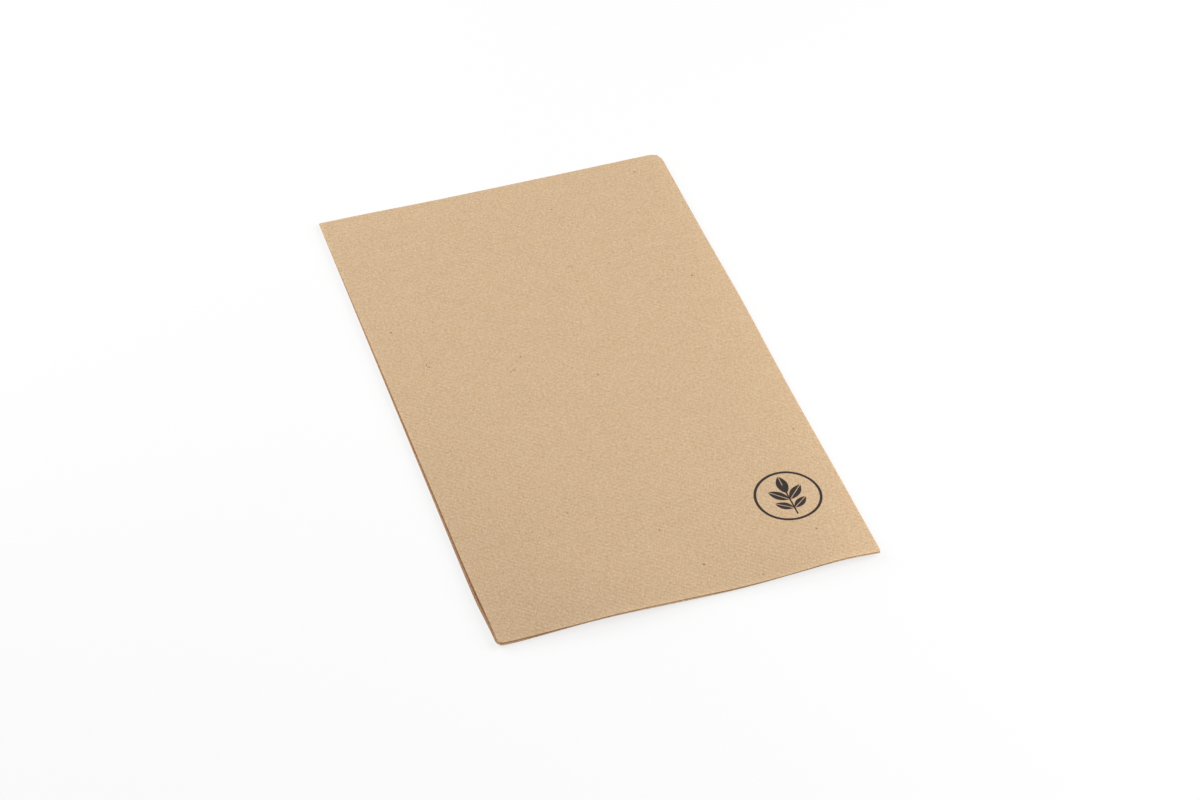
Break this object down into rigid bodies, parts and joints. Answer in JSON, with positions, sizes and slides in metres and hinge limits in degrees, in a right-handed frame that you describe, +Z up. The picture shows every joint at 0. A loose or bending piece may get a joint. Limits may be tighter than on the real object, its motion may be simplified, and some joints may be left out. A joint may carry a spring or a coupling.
{
  "type": "paper napkin",
  "caption": "Unbleached tissue napkin folded flat into a slim rectangle, with one long edge and one short edge closed and the other two open.",
  "frame": {"origin": "middle of the folded napkin's underside, on the surface that it lies on", "axes": "+Z up through the stack of layers, +Y towards the closed short edge, +X towards the closed long edge; the open edges face -X and -Y"},
  "size_m": [0.1008, 0.166, 0.0028],
  "materials": {
    "tissue": "matt unbleached tissue with a fine embossed texture and darker fibre flecks"
  },
  "bodies": {
    "root": {"napkin": "tissue"}
  },
  "joints": []
}
